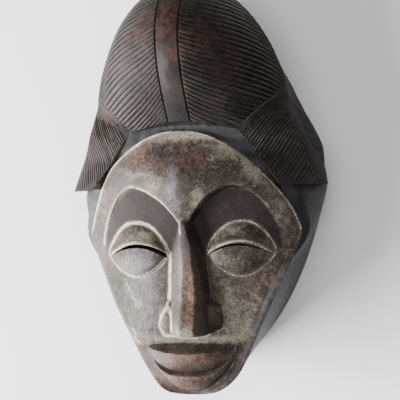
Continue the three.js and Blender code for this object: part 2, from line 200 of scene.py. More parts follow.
def eye_rise(ax, y):
    u = np.minimum(1, abs(ax - EYE.x) / EYE.half)
    q = abs(y - EYE.y) / np.maximum(1e-6, eye_reach(u, y > EYE.y))
    off = y - slit_y(ax)
    lid = SLIT.lid * np.sign(off) * np.exp(-((off / SLIT.lid_width) ** 2)) * (1 - u)
    dome = EYE.edge + EYE.rise * np.sqrt(1 - u * u) * (1 - np.minimum(1, q) ** EYE.dome) + lid
    return np.where((u < 1) & (q < 1), dome, 0)


# Long nose with a narrow back, a blunt tip and two low wings
NOSE = Sizes(top=-20, tip=-94, bottom=-101.5, bottom_curve=0.012, bottom_soft=1.5)
NOSE_TOP_FADE = (NOSE.top - 6, NOSE.top + 12)
NOSE_RIDGE = ((NOSE.tip, 102), (-72, 94.6), (-52, 94), (NOSE.top, 95.5))
NOSE_BACK_HALF = ((NOSE.tip, 4), (-73, 4.2), (-40, 3), (NOSE.top, 1.5))
NOSE_LEAN = ((NOSE.tip, 2.6), (-73, 2.4), (-40, 1.5), (NOSE.top, 0))
NOSE_SIDE_CURVE = ((NOSE.tip, 1.8), (-66, 1.2))
NOSE_FOOT_HALF = ((NOSE.tip, 16), (-46, 13), (NOSE.top, 5))
WING = Sizes(x=15, y=-89.5, across=8, up=13, down=12, rise=6)


def nose_z(x, y):
    ax = abs(x)
    back = profile(NOSE_BACK_HALF, y)
    lean = profile(NOSE_LEAN, y)
    foot = profile(NOSE_FOOT_HALF, y) - lean * np.sign(x - lean)
    side = clamp((abs(x - lean) - back) / (foot - back))
    ground = cheek_z(ax, y)
    wing_y = (y - WING.y) / np.where(y > WING.y, WING.up, WING.down)
    wing = np.maximum(0, 1 - ((ax - WING.x) / WING.across) ** 2 - wing_y**2)
    bridge = (profile(NOSE_RIDGE, y) - ground) * (1 - side ** profile(NOSE_SIDE_CURVE, y))
    rise = np.maximum(bridge, WING.rise * wing**0.5)
    bottom = NOSE.bottom + NOSE.bottom_curve * ax * ax
    above = smooth(bottom - NOSE.bottom_soft, bottom + NOSE.bottom_soft, y)
    return ground + rise * above * (1 - smooth(*NOSE_TOP_FADE, y))


# Full closed lips that reach almost across the chin
MOUTH = Sizes(half=32.4, rise=12, band=4, ends=0.55)
UPPER_LIP = Sizes(at_line=0.5, curve=0.6)
LOWER_LIP = Sizes(at_line=0.45, swell=0.35, tuck=0.8)
# Each line of the lips: its height on the middle of the face, how far it has climbed at the corners
# of the mouth, and how it curves
LIP_LINES = ((-106.5, -2, 2), (-112.5, 3, 2), (-125.5, 13.5, 2.8), (-139.5, 27.5, 2.2))


def lips_rise(ax, y):
    u = np.minimum(1, ax / MOUTH.half)
    top, edge, line, bottom = (at + climb * u**power for at, climb, power in LIP_LINES)
    full = MOUTH.rise * (1 - u * u) ** MOUTH.ends
    bevel = (top - y) / np.maximum(0.5, top - edge)
    above = clamp((y - line) / np.maximum(0.5, edge - line))
    upper = mix(UPPER_LIP.at_line, 1, above ** UPPER_LIP.curve)
    below = clamp((line - y) / np.maximum(0.5, line - bottom))
    swell = LOWER_LIP.at_line + LOWER_LIP.swell * smooth(0, MOUTH.band, line - y)
    lower = swell * (1 - LOWER_LIP.tuck * below**3)
    share = np.where(y > edge, bevel, np.where(y > line, upper, lower))
    return np.where((y > top) | (y < bottom) | (u >= 1), 0, full * share)


def face_z(x, y):
    ax = abs(x)
    soft = mix(BROW.sharp, BROW.soft, smooth(BROW.sharp_x, BROW.soft_x, ax))
    outside = smooth(-soft, BROW.top, brow_distance(ax, y))
    socket = SOCKET.dip * (1 - outside) * smooth(*SOCKET.foot, y)
    ground = cheek_z(ax, y) + forehead_rise(ax, y) * outside - socket
    ground = ground + eye_rise(ax, y) + lips_rise(ax, y)
    bevel = BEVEL.depth * smooth(BEVEL.start, 1, face_share(ax, y)) ** BEVEL.curve
    return np.maximum(ground, nose_z(x, y)) - bevel


# The skull behind the face plate. Its flanks fall to the rim that the mask rests on, and at the
# temples its shoulder stands out beyond the plate as an ear-like lip.
SKULL = Sizes(inset=1.6, under_plate=16, shown=(0.8, 0.97), shoulder=0.85, full_bulge=20)
SKULL_MARGIN = ((-58, -SKULL.inset), (-36, 3.1), (-22, 6.3), (-16, 5.8), (-9, 0.6))
SHOULDER_FALL = ((-20, 0), (10, 7))
FLANK_BULGE = ((-110, 0), (-70, 2), (-35, 2), (-10, 6))
FLANK_CURVE = ((-30, 1), (-8, 0.2))
RIM = Sizes(half_width=85, y=5, bottom=-130, middle=-18, in_hair=70, top=120, curve=(2, 1.33))


def border_z(x, y):
    ax = abs(x)
    return cheek_z(ax, y) + np.maximum(0, forehead_rise(ax, y)) * smooth(*FOREHEAD.foot, y) - PLATE_STEP


def rim_share(y):
    return (y - RIM.y) / (np.where(y < RIM.y, RIM.bottom, RIM.top) - RIM.y)


def skull_points(t, f):
    """t runs from -1 at the chin to 1 at the top. f is 0 on the middle line, 1 on the outline of
    the front and 2 at the rim, and is negative on the left."""
    side, f = np.sign(f), abs(f)
    share = abs(t)
    edge_y = mix(TEMPLE_Y, np.where(t < 0, CHIN_Y + SKULL.inset, FACE_TOP_Y), share)
    margin = profile(SKULL_MARGIN, edge_y)
    jaw = jaw_half_width(share, FACE_HALF_WIDTH + margin)
    edge = np.where(t < 0, jaw, face_half_width(edge_y) + margin)
    fall = profile(SHOULDER_FALL, edge_y)
    bare = border_z(edge * f, edge_y) - fall * smooth(SKULL.shoulder, 1, f)
    covered = cheek_z(edge * f, edge_y) - SKULL.under_plate
    near_edge = np.maximum(face_share(edge * f, edge_y), np.where(t < 0, share, 0))
    front_z = mix(covered, bare, smooth(*SKULL.shown, near_edge))
    down = np.maximum(0, f - 1)
    rim_y = mix(RIM.middle, np.where(t < 0, RIM.bottom, RIM.in_hair), share)
    rim = half_width(rim_share(rim_y), RIM.half_width, *RIM.curve)
    bulge = profile(FLANK_BULGE, edge_y) * np.sin(np.pi * down)
    bulge = bulge * np.minimum(1, edge / SKULL.full_bulge)
    flank_x = mix(edge, rim, down ** profile(FLANK_CURVE, edge_y)) + bulge
    flank_z = (border_z(edge, edge_y) - fall) * (1 - down)
    x = np.where(f <= 1, edge * f, flank_x)
    z = np.where(f <= 1, front_z, flank_z)
    return together(side * x, mix(edge_y, rim_y, down), z)


# The coiffure: a crested lobe over the forehead that runs down into a tress on each side
RIDGE = ((20, 50), (66, 58), (70, 58), (100, 56), (110, 56), (TOP_Y, 60))
CREST_CURVE = 1.7
TRESS_FRONT = Sizes(reach=39, curve=1.6)
VALLEY = Sizes(x=40, climb=0.65, foot=(8, 45))
CROWN_POWER = ((20, 1.25), (HAIRLINE_Y, 1.65), (92, 1.78), (130, 2))
BAND = Sizes(half=8, most=0.3, across=0.1)  # half is in millimetres, the others are shares
NEAR_DROOP = ((-10, 0), (LOBE_FOOT_Y, 0.5), (130, 0.22))
FAR_DROOP = ((5, 0.1), (105, 0.62))
RIM_INSET = ((0, 8), (30, 0))
RIM_TAPER = ((30, 0), (110, 0.17))
TOP_LEAN = ((95, 0), (TOP_Y, 8))


def hair_half_width(y):
    up = clamp((y - LOBE_FOOT_Y) / (TOP_Y - LOBE_FOOT_Y))
    below = mix(LOBE_HALF_WIDTH, TRESS_HALF_WIDTH, np.maximum(0, 1 - y / LOBE_FOOT_Y))
    return np.where(y > LOBE_FOOT_Y, half_width(up, LOBE_HALF_WIDTH, 2, 1.5), below)


def crest_z(y):
    up = clamp((y - CREST_Y) / (TOP_Y - CREST_Y))
    top = mix(profile(RIDGE, TOP_Y), CREST_Z, np.sqrt(1 - up * up))
    reach = TRESS_FRONT.reach
    tress = HAIRLINE_Z + reach * np.maximum(0, (HAIRLINE_Y - y) / reach) ** TRESS_FRONT.curve
    below = clamp((CREST_Y - y) / (CREST_Y - HAIRLINE_Y))
    brow = mix(CREST_Z, HAIRLINE_Z, below**CREST_CURVE)
    return np.where(y > CREST_Y, top, np.where(y < HAIRLINE_Y, tress, brow))


def hair_z(ax, y):
    climb = VALLEY.climb * np.maximum(0, ax - VALLEY.x) * smooth(*VALLEY.foot, y)
    crest = crest_z(y - climb)
    power = profile(CROWN_POWER, y)
    share = np.minimum(1, ax / hair_half_width(y)) ** power
    return mix(profile(RIDGE, y), crest, (1 - share) ** (1 / power))


# The locks droop further on the left than on the right, as they were cut by eye
LEFT_DROOP = ((40, 1), (70, 1.35), (TOP_Y, 1.2))
RIGHT_DROOP = ((40, 1), (70, 0.8), (TOP_Y, 0.9))


def lock_droop(row, out, left):
    """How far a lock hangs below its row, as a share of the hair's half width. Out runs from 0 at
    the band to 1 on the ridge."""
    near = profile(NEAR_DROOP, row)
    droop = near * np.sin(out * np.pi / 2) + (profile(FAR_DROOP, row) - near) * out**4
    return droop * np.where(left, profile(LEFT_DROOP, row), profile(RIGHT_DROOP, row))


def band_half(width):
    return np.minimum(BAND.half, BAND.most * width)


def hair_points(row, across):
    """A row follows one lock. Across runs from 0 on the middle line to 1 on the ridge and on to 2
    at the rim, and is negative on the left."""
    side, a = np.sign(across), abs(across)
    out = clamp((a - BAND.across) / (1 - BAND.across))
    y = row - lock_droop(row, out, side < 0) * hair_half_width(row)
    width = hair_half_width(y)
    band = band_half(width)
    power = profile(CROWN_POWER, y)
    beyond = mix(band, width, np.sin(out * np.pi / 2) ** (2 / power))
    x = np.where(a < BAND.across, band * a / BAND.across, beyond)
    down = np.maximum(0, a - 1)
    rim = (width - profile(RIM_INSET, y)) * (1 - profile(RIM_TAPER, y))
    flank_y = y - down * profile(TOP_LEAN, row)
    flank = together(side * mix(width, rim, down), flank_y, profile(RIDGE, y) * (1 - down))
    front = together(side * x, y, hair_z(x, y))
    return np.where((a <= 1)[..., None], front, flank)


# The locks start above a line that climbs from the hairline towards the side, and fade at the top
LOCK_FOOT = Sizes(y=HAIRLINE_Y - 2, climb=0.93, soft=2)
LOCK_TOP = 8


def lock_share(x, y):
    foot = LOCK_FOOT.y + LOCK_FOOT.climb * np.maximum(0, abs(x) - VALLEY.x)
    beside_band = smooth(0, 0.5, abs(x) - BAND.half)
    above_foot = smooth(foot, foot + LOCK_FOOT.soft, y)
    return above_foot * beside_band * (1 - smooth(TOP_Y - LOCK_TOP, TOP_Y, y))


# Edge of the hair round the face: a low arch over the forehead and a straighter line down each side
EDGE = Sizes(top=44.5, corner_x=38.5, corner_y=40, foot_x=66, foot_y=-2, curve=0.95, lip=9, bevel=2.5)


def side_half_width(y):
    below = np.maximum(0, (EDGE.corner_y - y) / (EDGE.corner_y - EDGE.foot_y))
    return mix(EDGE.corner_x, EDGE.foot_x, below**EDGE.curve)


# Hand work: small slow waves that keep a surface from being machine smooth
WAVES = 6
PLAN_ERROR = 0.55
HAND_RELIEF = 0.25


def waver(x, y, length, seed):
    """Waves of about a length, in all directions, that add up to a level between -1 and 1"""
    rng = np.random.default_rng(seed)
    total = np.zeros(np.shape(x + y))
    for _ in range(WAVES):
        angle, phase = rng.uniform(0, 2 * np.pi, 2)
        turns = rng.uniform(0.6, 1.6) * 2 * np.pi / length
        total = total + np.sin(turns * (x * math.cos(angle) + y * math.sin(angle)) + phase)
    return total / WAVES


def by_hand(x, y):
    """Where a point of the face lies on the plan that the carver followed by eye"""
    off_x, off_y = (PLAN_ERROR * waver(x, y, length=26, seed=seed) for seed in (21, 22))
    return x + off_x, y + off_y


# Solids, built and cut in millimetres
def loft(name, rings, material):
    """A closed solid through rings of points, all with the same number of points"""
    return mesh_object(name, *lofted(rings), material)


def lofts(name, grooves, first_wall, other_walls):
    """Many closed lofts in one object, each with another material on its first wall"""
    points, faces, walls, start = [], [], [], 0
    for rings in grooves:
        some_points, some_faces = lofted(rings)
        count, n = rings.shape[:2]
        points.append(some_points)
        faces.append(some_faces + start)
        walls += [*np.tile(np.arange(n), 2 * (count - 1)), *np.full(2 * n, n)]
        start += len(some_points)
    made = mesh_object(name, np.vstack(points), np.vstack(faces), first_wall)
    made.data.materials.append(other_walls)
    made.data.polygons.foreach_set("material_index", np.minimum(walls, 1))
    return made


def lofted(rings):
    """The points and triangles of a loft. Each square is split along its shorter diagonal."""
    rings = np.asarray(rings, float)
    count, n = rings.shape[:2]
    points = rings.reshape(-1, 3)
    r, i = np.meshgrid(np.arange(count - 1), np.arange(n), indexing="ij")
    a, b = r * n + i, r * n + (i + 1) % n
    c, d = b + n, a + n
    ac, bd = (np.linalg.norm(points[p] - points[q], axis=-1) for p, q in ((a, c), (b, d)))
    first = (ac <= bd)[..., None]
    one = np.where(first, together(a, b, c), together(a, b, d))
    two = np.where(first, together(a, c, d), together(b, c, d))
    faces = [one.reshape(-1, 3), two.reshape(-1, 3)]
    ring = np.arange(n)
    for at, order in ((0, -1), (count - 1, 1)):
        pair = [at * n + ring, at * n + np.roll(ring, -1)][::order]
        faces.append(together(*pair, len(points)))
        points = np.vstack([points, rings[at].mean(0)])
    return points, np.vstack(faces)


def place_in_scene(name, data):
    placed = bpy.data.objects.new(name, data)
    bpy.context.scene.collection.objects.link(placed)
    return placed


def mesh_object(name, points, faces, material):
    mesh = bpy.data.meshes.new(name)
    mesh.from_pydata(points.tolist(), [], faces.tolist())
    mesh.materials.append(material)
    return place_in_scene(name, mesh)


def cut_or_join(base, other, operation):
    """Cuts other out of base, or joins it on. Other is used up."""
    step = base.modifiers.new(operation, "BOOLEAN")
    step.operation = operation
    step.solver = "MANIFOLD"
    step.material_mode = "TRANSFER"
    step.object = other
    depsgraph = bpy.context.evaluated_depsgraph_get()
    mesh = bpy.data.meshes.new_from_object(base.evaluated_get(depsgraph))
    base.modifiers.clear()
    base.data = mesh
    bpy.data.objects.remove(other)


# The back of the face plate lies inside the skull, drawn in towards a middle height
PLATE_BACK = Sizes(across=(0.9, 0, -0.9), middle_y=-50, drawn_in=0.08, depth=16)


def face_plate(material):
    rows = spread(CHIN_Y + END_GAP, FACE_TOP_Y - END_GAP, 236, 0.3)[:, None]
    columns = spread(-1, 1, 190, 0.15)[None, :]
    half = face_half_width(rows)
    x = half * columns
    z = face_z(*by_hand(x, rows)) + HAND_RELIEF * waver(x, rows, length=30, seed=1)
    front = together(x + profile(PLATE_LEAN, rows), rows, z)
    back_y = mix(rows, PLATE_BACK.middle_y, PLATE_BACK.drawn_in)
    back_z = cheek_z(half, rows) - PLATE_BACK.depth
    back = together(half * np.array(PLATE_BACK.across), back_y, back_z)
    return loft("face", np.concatenate([front, back], 1), material)


def both_sides(right):
    """Columns across a form, from those right of its middle line"""
    return np.concatenate([-right[::-1], [0], right])[None, :]


def skull(material):
    t = np.concatenate([spread(-0.9995, 0, 50, 0.5), spread(0, 0.98, 26)[1:]])[:, None]
    right = np.concatenate([spread(0, 1, 20, 0.5)[1:], 1 + np.linspace(0, 1, 16)[1:] ** 1.7])
    return loft("skull", skull_points(t, both_sides(right)), material)


# Columns across the hair: beside the edge of the band, out to the ridge and down to the rim
BAND_COLUMNS = (0.05, 0.088, 0.1, 0.112)
PLAIN_ROWS = range(9, 45, 3)
# Along one lock pitch: where each row is, and how deep it is cut
LOCK_ROWS = ((0, 1), (0.17, 0.15), (0.45, -0.15), (0.8, 0.1))
LOCK_FADE = (1.3, 1.7)  # across
# How unevenly the locks are cut, and how much of their depth is gone where they are rubbed
LOCK_HAND = Sizes(off=0.5, foot=(45, 60), top=(TOP_Y - 12, TOP_Y - 4), depth=0.35, rubbed=0.45)
BAND_LINE = Sizes(depth=1.3, half=0.008, foot=(40, 46), top=(130, 140))


def coiffure(material):
    right = np.concatenate([BAND_COLUMNS, spread(0.135, 1, 30), spread(1, 2, 10)[1:]])
    across = both_sides(right)
    levels = [(y, 0) for y in PLAIN_ROWS]
    for lock in range(LOCKS):
        levels += [(FIRST_LOCK + (lock + at) * LOCK_PITCH, depth) for at, depth in LOCK_ROWS]
    levels.append((TOP_Y - END_GAP, 0))
    rows, depths = np.array(levels).T[..., None]
    lock = (rows - FIRST_LOCK) / LOCK_PITCH
    wave = waver(9 * lock + 40 * np.sign(across), 22 * across, length=30, seed=2)
    uneven = LOCK_HAND.off * wave * smooth(*LOCK_HAND.foot, rows)
    points = hair_points(rows + uneven * (1 - smooth(*LOCK_HAND.top, rows)), across)
    x, y, z = np.moveaxis(points, -1, 0)
    inward = unit(together(-x, 0, AXIS_Z - z))
    fade = 1 - smooth(*LOCK_FADE, abs(across))
    uneven_depth = 1 + LOCK_HAND.depth * waver(x, y, length=40, seed=3)
    worn = 1 - LOCK_HAND.rubbed * patches(x, y, HAIR_RUBBED)
    cut = LOCK_DEPTH * depths * lock_share(x, y) * fade * uneven_depth * worn
    band_line = np.exp(-(((abs(across) - BAND.across) / BAND_LINE.half) ** 2))
    band_line = BAND_LINE.depth * band_line * smooth(*BAND_LINE.foot, y)
    cut = np.maximum(cut, band_line * (1 - smooth(*BAND_LINE.top, y)))
    return loft("coiffure", points + inward * cut[..., None], material)


def pocket(material):
    """What is cut out of the hair for the face. Its floor is laid in rings that grow from the
    middle of the forehead to the edge of the hair, where a bevel rises."""
    side_y = spread(EDGE.foot_y - 4, EDGE.corner_y, 28)
    side = together(side_half_width(side_y), side_y)
    f = spread(0.94, -0.94, 40)
    arch = together(EDGE.corner_x * f, mix(EDGE.top, EDGE.corner_y, f * f))
    edge = np.vstack([side, arch, (side * (-1, 1))[::-1]])
    along = unit(np.gradient(edge, axis=0))
    brim = edge + EDGE.bevel * together(along[:, 1], -along[:, 0])
    middle = np.array([0, 20])
    rings = []
    for share in spread(0.04, 1, 24):
        at = mix(middle, edge, share).T
        floor_z = border_z(*at) + HAND_RELIEF * waver(*at, length=14, seed=7)
        rings.append(together(*at, floor_z))
    rings.append(together(*brim.T, border_z(*edge.T) + EDGE.lip))
    rings.append(together(*brim.T, FAR))
    return loft("pocket", rings, material)


CAVITY = Sizes(bottom=RIM.bottom + WALL + 2, top=96, depth=74, outline=(2, 1.7), along=2.5, roof=0.6)
CAVITY_UNEVEN = 0.012


def cavity(material):
    rings = []
    for t in spread(-1, 1, 60, 0.8):
        y = mix(CAVITY.bottom, CAVITY.top, (t + 1) / 2)
        share = (y - RIM.y) / ((CAVITY.bottom if y < RIM.y else CAVITY.top) - RIM.y)
        half = float(half_width(share, RIM.half_width - WALL, *CAVITY.outline))
        depth = CAVITY.depth * math.sqrt(max(0, 1 - abs(t) ** CAVITY.along))
        a = spread(0, np.pi, 48)
        x, z = -half * np.cos(a), depth * np.sin(a) ** CAVITY.roof
        z = z * (1 + CAVITY_UNEVEN * waver(x, y, length=16, seed=5))
        rings.append([*together(x, y, z), (half, y, -5), (-half, y, -5)])
    return loft("cavity", rings, material)


# Height of each slit at its inner end, in the middle and at its outer end
LEFT_GAP = ((-1, 3.4), (0, 2.6), (1, 0.6))
RIGHT_GAP = ((-1, 0.7), (0, 1.6), (1, 0.7))


def eye_slit(side, gap, material):
    rings = []
    for u in spread(-1, 1, 40):
        x = SLIT.x + SLIT.half * u
        open_by = float(profile(gap, u)) / 2
        low, high = slit_y(x) - open_by, slit_y(x) + open_by
        corners = (low, SLIT.low_z), (high, SLIT.low_z), (high, SLIT.high_z), (low, SLIT.high_z)
        ring = [(side * x, y, z) for y, z in corners]
        rings.append(ring if side > 0 else ring[::-1])
    return loft("slit", rings, material)


def hair_normal(x, y):
    ax, step = abs(x), 0.5
    slope_x = (hair_z(ax + step, y) - hair_z(ax - step, y)) / (2 * step) * np.sign(x)
    slope_y = (hair_z(ax, y + step) - hair_z(ax, y - step)) / (2 * step)
    return unit(together(-slope_x, -slope_y, 1))


GROOVE_LIFT = 0.3  # how far the rings of a groove stand out of the surface


def groove(line, normal, half, depth):
    """Rings of a V cut along a line on a surface. Its first wall is the one on the right of a cut
    that runs upwards."""
    across = np.cross(unit(np.gradient(line, axis=0)), normal)
    wide = half * (depth + GROOVE_LIFT) / depth
    top = line + normal * GROOVE_LIFT
    return np.stack([top + across * wide, line - normal * depth, top - across * wide], 1)


def skin_of(made):
    mesh = made.data
    return BVHTree.FromPolygons([v.co for v in mesh.vertices], [p.vertices for p in mesh.polygons])


def laid_on(skin, points, way):
    """The points of a line, moved along a direction until they lie on a skin"""
    way = Vector(way)
    return np.array([skin.ray_cast(Vector(point) - FAR * way, way)[0] for point in points])


def hair_groove(skin, x, y, half, depth):
    line = laid_on(skin, together(x, y, 0), (0, 0, -1))
    return groove(line, hair_normal(x, y), half, depth)


# Cuts on the front of a tress, which run down and inwards and stop short of its edges. They fan
# out: lean is how far the first and the last move outwards for each step up.
LEFT_CUTS = Sizes(side=-1, first_x=34, pitch=2.15, count=31, lean=(0.62, 0.12), half=0.5, depth=0.6)
RIGHT_CUTS = Sizes(side=1, first_x=32, pitch=2.75, count=27, lean=(0.8, 0.42), half=0.62, depth=0.75)
CUT = Sizes(low_y=1.5, high_y=72, turn_y=24, margin=1.3, ridge_room=2.2, steps=260, least_steps=12)
TRESS_TOP = Sizes(x=VALLEY.x, y=FACE_TOP_Y + 4, climb=0.36)


def tress_cuts(skin, cuts):
    """The sines make each cut a little different from the next."""
    grooves = []
    for i in range(cuts.count):
        y = spread(CUT.low_y, CUT.high_y, CUT.steps)
        lean = mix(*cuts.lean, i / cuts.count)
        start = cuts.first_x + (i + 0.15 * math.sin(5.1 * i)) * cuts.pitch
        x = start + lean * (y - CUT.turn_y) + 0.15 * np.sin(y / 5 + 1.7 * i)
        top = TRESS_TOP.y + TRESS_TOP.climb * (x - TRESS_TOP.x)
        room = np.minimum(top - y, hair_half_width(y) - x - CUT.ridge_room)
        room = np.minimum(room, x - side_half_width(y))
        inside = np.flatnonzero(room > CUT.margin + 0.5 * math.sin(3.7 * i))
        if len(inside) < CUT.least_steps:
            continue
        at = np.linspace(inside[0], inside[-1], 10).astype(int)
        depth = cuts.depth * (1 + 0.2 * math.sin(1.9 * i))
        grooves.append(hair_groove(skin, cuts.side * x[at], y[at], cuts.half, depth))
    return grooves


def stroke(points, steps=12):
    """A line through points, rounded off a little at each of them"""
    points = np.array(points, float)
    at = np.linspace(0, len(points) - 1, steps * (len(points) - 1) + 1)
    line = together(*(np.interp(at, range(len(points)), column) for column in points.T))
    for _ in range(3):
        line[1:-1] = (line[:-2] + 2 * line[1:-1] + line[2:]) / 4
    return line


# Incised lines on the hair: at the foot of each lobe, at the top of each tress and along its ridge
FOOT_LINE = ((40, 42.8), (47, 49), (56, 57), (65, 64))
TOP_LINE = ((43.5, 40), (52, 46.5), (62, 50.5), (72, 53.5))
RIDGE_LINES = Sizes(low_y=4, high_y=58, insets=(1.1, 2.6))


def incised_lines(skin):
    lines = []
    for side in SIDES:
        for points in (FOOT_LINE, TOP_LINE):
            x, y = stroke(points).T
            lines.append(hair_groove(skin, side * x, y, half=0.5, depth=0.7))
        y = spread(RIDGE_LINES.low_y, RIDGE_LINES.high_y, 30)
        for inset in RIDGE_LINES.insets:
            x = side * (hair_half_width(y) - inset)
            lines.append(hair_groove(skin, x, y, half=0.4, depth=0.6))
    return lines


# Cuts on the side of a tress, from its ridge down to the back and a little towards the chin
SIDE_CUTS = Sizes(count=24, pitch=2.4, top=61, fall=11, under_ridge=2.5, last_z=14)


def side_cuts(skin):
    cuts = []
    along = spread(0, 1, 9)
    for side in SIDES:
        for i in range(SIDE_CUTS.count):
            y = SIDE_CUTS.top - SIDE_CUTS.pitch * i - SIDE_CUTS.fall * along
            if y.min() < CUT.low_y:
                continue
            last_z = SIDE_CUTS.last_z + 5 * math.sin(2.1 * i)
            z = mix(profile(RIDGE, y) - SIDE_CUTS.under_ridge, last_z, along)
            line = laid_on(skin, together(0, y, z), (-side, 0, 0))
            cuts.append(groove(line, np.array([[side, 0, 0.05]]), half=0.55, depth=0.6))
    return cuts


TRESS_THICKNESS = 12


def hair_under_tress(mesh):
    """Give the side of each tress the hair's material where the flank lies level with it"""
    flank, hair = mesh.materials.find("flank"), mesh.materials.find("hair")
    for polygon in mesh.polygons:
        x, y, _ = polygon.center
        if polygon.material_index == flank and y > 0:
            if abs(x) > hair_half_width(y) - TRESS_THICKNESS:
                polygon.material_index = hair


SHARP_ANGLE = 38  # in degrees


def carved_mask(wood):
    mask = coiffure(wood["hair"])
    skin = skin_of(mask)
    cut_or_join(mask, pocket(wood["channel"]), "DIFFERENCE")
    cut_or_join(mask, skull(wood["flank"]), "UNION")
    cut_or_join(mask, face_plate(wood["face"]), "UNION")
    cut_or_join(mask, cavity(wood["hollow"]), "DIFFERENCE")
    for side, gap in zip(SIDES, (LEFT_GAP, RIGHT_GAP)):
        cut_or_join(mask, eye_slit(side, gap, wood["hollow"]), "DIFFERENCE")
    # Lit and shaded copies of the wood in the cuts: the first wall of each takes the lighter lip wood
    # as painted light, the other walls the near-black groove wood as painted shade
    for cuts in (tress_cuts(skin, LEFT_CUTS) + tress_cuts(skin, RIGHT_CUTS), side_cuts(skin)):
        cut_or_join(mask, lofts("cuts", cuts, wood["lip"], wood["groove"]), "DIFFERENCE")
    cut_or_join(mask, lofts("lines", incised_lines(skin), wood["lip"], wood["lip"]), "DIFFERENCE")
    hair_under_tress(mask.data)
    lay_fields(mask.data)
    mask.data.transform(Matrix.Scale(MM, 4) @ Matrix.Translation((0, -MIDDLE_Y, 0)))
    mask.data.shade_smooth()
    mask.data.set_sharp_from_angle(angle=math.radians(SHARP_ANGLE))
    mask.name = "carved_mask"
    return mask


# Where colour lies on the carving. Patches are x, y, half width, half height and strength.
def patches(x, y, spots):
    return sum(
        strength * np.exp(-(((x - at_x) / wide) ** 2) - ((y - at_y) / high) ** 2)
        for at_x, at_y, wide, high, strength in spots)


# Pale clay on the face, which settles where a hand doesn't rub it
CLAY = (
    (0, -104, 34, 3.2, 1), (-40, -104, 8, 6, 0.7), (40, -100, 9, 7, 0.5), (27, -82, 4, 13, 0.6),
    (34, -88, 16, 18, 0.35), (34, -44, 16, 10, 0.15), (0, -80, 62, 50, 0.18), (-36, -46, 14, 12, 0.25),
    (18, -50, 4, 16, 0.7), (64, -18, 10, 18, 0.5), (62, -48, 9, 16, 0.4), (50, -82, 9, 22, 0.3),
    (50, 14, 14, 8, 0.25), (22, 12, 12, 8, 0.4), (12, -5, 6, 9, 0.85), (-19, 3, 8, 6, 0.85),
    (-34, 11, 16, 3.5, 0.6), (-56, 0, 9, 8, 0.4), (-64, -14, 7, 14, 0.5), (-28, -32, 15, 6, 0.55),
    (30, -28, 16, 6, 0.5), (0, 37.5, 36, 3.5, 0.85), (32, 26, 14, 9, 0.75), (48, 10, 10, 12, 0.55),
    # The patch at (0, -98) on the nose tip is a painted highlight, laid as clay
    (0, -98, 7, 3, 0.9), (-6, 33, 26, 5, 0.25), (-44, 26, 9, 9, 0.5), (-46, -96, 7, 16, 0.5),
    (-50, -70, 8, 12, 0.4), (44, -122, 5, 14, 0.2), (-36, -128, 6, 8, 0.4),
)
# Wood rubbed warm and bare. The strongest patches, on the nose tip and down the back of the nose, also
# make a painted warm glint
WARM = (
    (-32, 24, 9, 12, 0.9), (-56, 6, 6, 10, 0.6), (-60, -28, 5, 16, 0.8), (-28, -8, 12, 8, 0.5),
    (8, 20, 14, 9, 0.4), (2, -116, 25, 5, 0.9), (-8, -132, 18, 6, 0.9), (-3, -97, 9, 5, 1.6),
    (4, -72, 3.5, 24, 1.3), (-15, -88, 4, 8, 0.5), (52, -64, 9, 6, 0.9), (-50, -34, 8, 8, 0.5),
    (-58, -62, 6, 12, 0.4), (40, -78, 8, 14, 0.4),
)
# Painted sheen: a grey highlight laid as colour where the lamp on the left glints, mostly on the left
# of the face, on the nose and on the lips
SHEEN_PATCHES = (
    (-38, -80, 17, 28, 1.6), (-36, -50, 15, 11, 0.8), (-5, 3, 6, 18, 1.3), (-1, -96, 6, 5, 0.9),
    (-30, 16, 14, 16, 0.35), (-2, -50, 3, 30, 0.9), (-34, -46, 14, 10, 0.5), (-30, -118, 12, 4, 0.3),
    (-10, -129, 16, 2, 0.6), (60, -96, 6, 20, 0.5), (-66, -50, 5, 24, 0.6),
)
# Painted shade: darker wood down the right of the nose and on its right wing, about the lips, on the
# right cheek and on the forehead
SHADE_PATCHES = (
    (2, -123, 30, 5, 0.8), (2, -137, 22, 6, 0.35), (6, 6, 12, 10, 0.4), (34, 14, 14, 10, 0.5),
    (14, -72, 4, 34, 0.8), (18, -91, 6, 6, 0.9), (0, -109, 32, 3, 0.5), (56, -100, 8, 20, 0.5),
)
# Clay dust in the channel between the hair and the face. On the left it is laid pale also to lift the
# shadow that the tress casts there: dust and painted light
DUST_AND_LIGHT = ((-50, 22, 10, 22, 1), (0, 43, 40, 2.5, 0.5))
HAIR_WARM = (
    (0, 118, 9, 18, 1.2), (4, 92, 4, 10, 1), (14, 96, 10, 9, 1.3), (30, 106, 16, 14, 0.6),
    (-20, 108, 12, 16, 0.9), (0, 88, 7, 10, 0.5), (40, 84, 14, 10, 0.5), (-62, 38, 16, 10, 0.7),
    (-58, 55, 9, 8, 0.9), (-72, 18, 16, 12, 0.4), (66, 26, 14, 12, 0.5), (55, 47, 8, 5, 0.6),
)
# Where the locks are rubbed down
HAIR_RUBBED = ((-40, 84, 20, 26, 1), (24, 92, 12, 10, 0.5))
# Painted grey sheen on the hair, on the left lobe and down the middle band, where the lamp would glint
HAIR_SHEEN_PATCHES = (
    (-44, 84, 20, 30, 0.2), (-4, 82, 4, 12, 1.4), (2, 62, 6, 12, 0.3), (38, 62, 20, 10, 0.4),
)


# How strong the clay is in each crease of the face, on the left and on the right
CREASES = dict(plate=(0.95, 0.5), jaw=(0.15, 0.15), brow=(0.75, 0.12), eye=(0.9, 0.5), lid=(0.7, 0.55))
PLATE_LINE = Sizes(low_y=-30, high_y=FACE_TOP_Y - 0.3, inset=0.8)
JAW_LINE = Sizes(low_y=-125, high_y=-30, inset=1.5)
LID_LINE = Sizes(above=2.4, fall=0.5)


